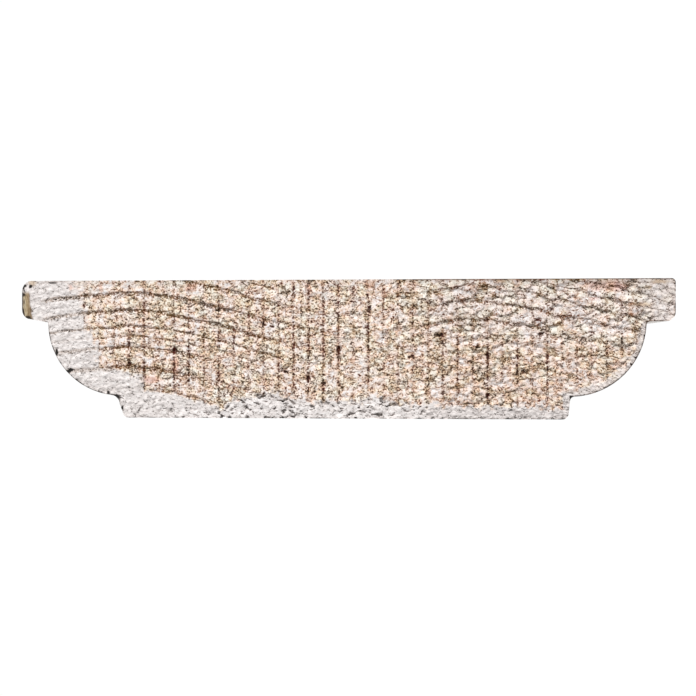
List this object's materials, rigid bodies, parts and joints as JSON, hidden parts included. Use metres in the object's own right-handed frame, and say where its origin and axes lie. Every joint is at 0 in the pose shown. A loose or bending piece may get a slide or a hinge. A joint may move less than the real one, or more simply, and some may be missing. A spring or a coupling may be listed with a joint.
{
  "type": "trim moulding",
  "caption": "Straight length of primed pine trim moulding with a flat back, a wide flat face, and a square lip and quarter-round ovolo down each edge, for fixing over a joint.",
  "frame": {"origin": "centre of the flat back, on the surface that goes against the wall", "axes": "+Z out of the back, +Y along the length with the broken end at -Y, +X across the width"},
  "size_m": [0.0826, 1, 0.0175],
  "materials": {
    "primed_pine": "matt white primer on the moulded faces, bare pine on the back, rough-sawn end grain"
  },
  "bodies": {
    "root": {"moulding": "primed_pine"}
  },
  "joints": []
}
